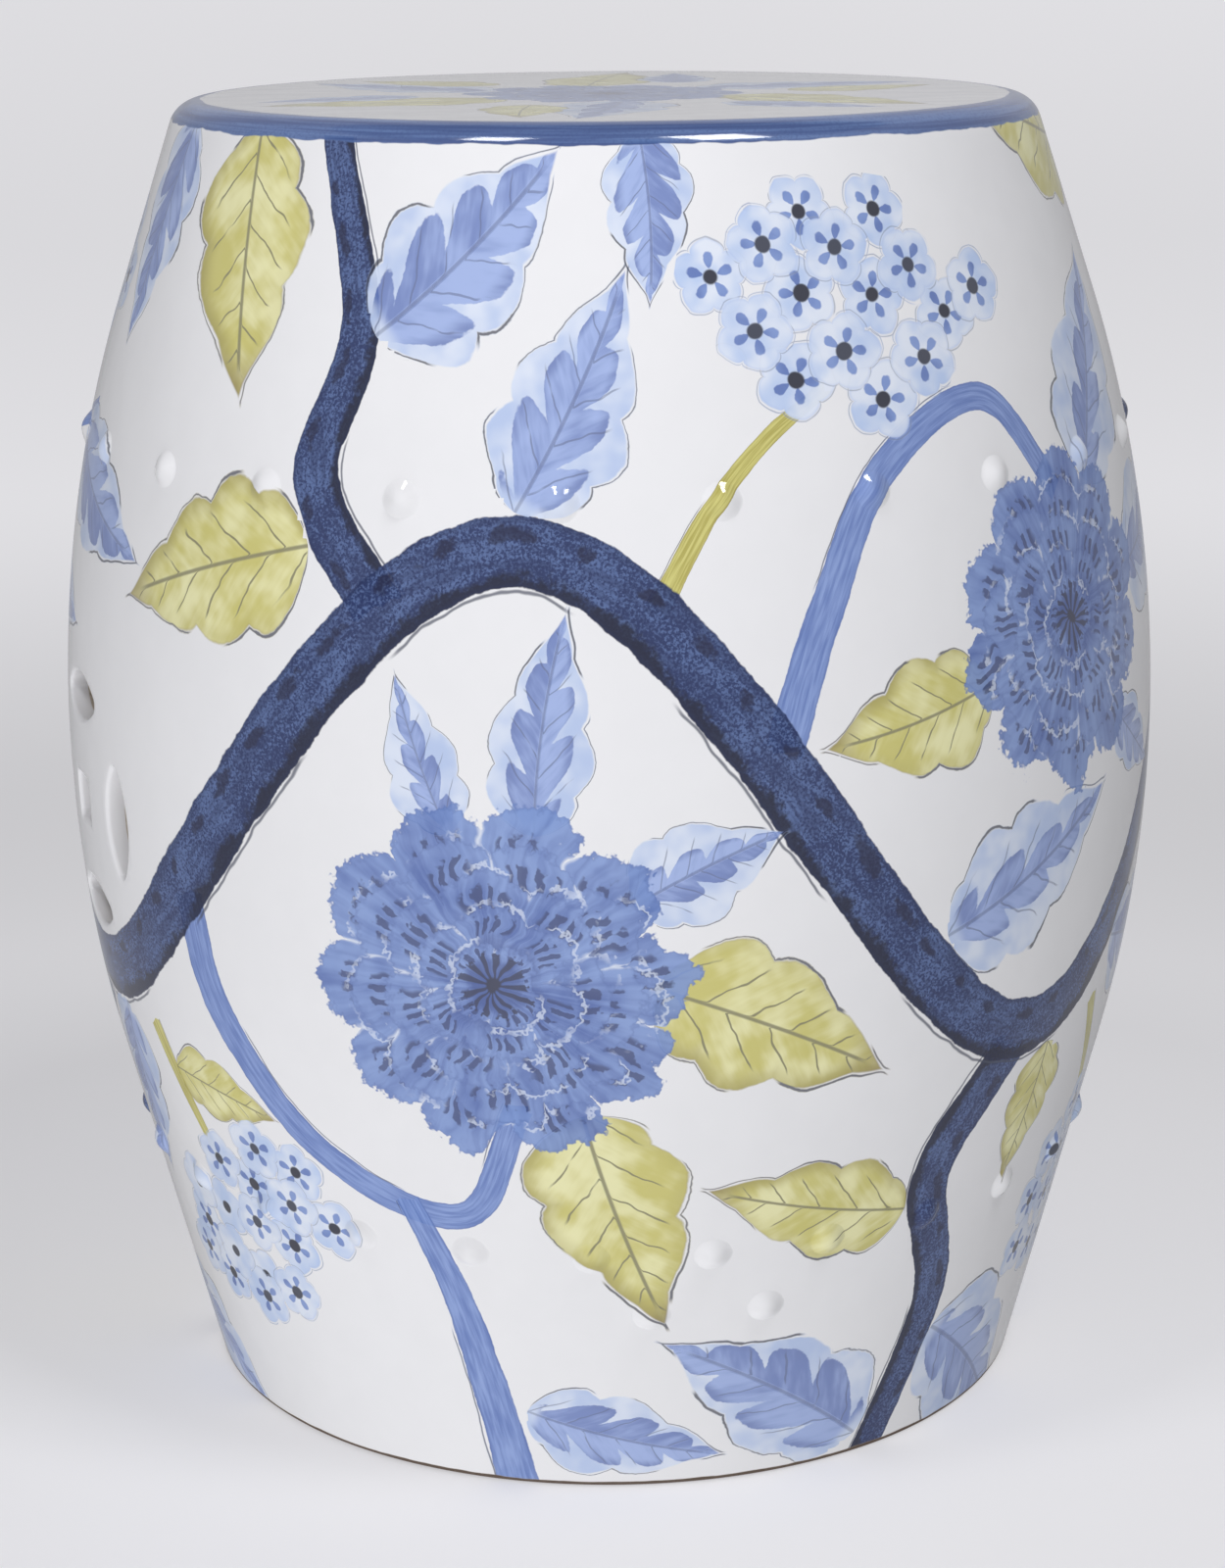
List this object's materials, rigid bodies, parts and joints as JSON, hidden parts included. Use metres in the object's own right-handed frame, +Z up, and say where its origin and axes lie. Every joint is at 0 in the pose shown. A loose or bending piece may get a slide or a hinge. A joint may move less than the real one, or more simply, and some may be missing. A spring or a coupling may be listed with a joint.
{
  "type": "ceramic garden stool",
  "caption": "Barrel-shaped glazed stoneware garden stool with a flat round seat, rings of small bosses, a pierced coin hand hold on each side, and a hollow inside open at the foot.",
  "frame": {"origin": "on the floor, at the centre of the foot ring", "axes": "+Z up along the axis of the barrel; the two pierced coins face +X and -X; -Y is the front"},
  "size_m": [0.3846, 0.3846, 0.45],
  "materials": {
    "white_glaze": "gloss white glaze over blue and olive brushwork",
    "boss_glaze": "gloss white glaze",
    "bare_clay": "matt unglazed fired clay"
  },
  "bodies": {
    "root": {"foot_ring": "bare_clay", "lower_wall": "white_glaze", "upper_wall": "white_glaze", "seat_top": "white_glaze", "upper_bosses": "boss_glaze", "lower_bosses": "boss_glaze", "staggered_bosses": "boss_glaze"}
  },
  "joints": []
}
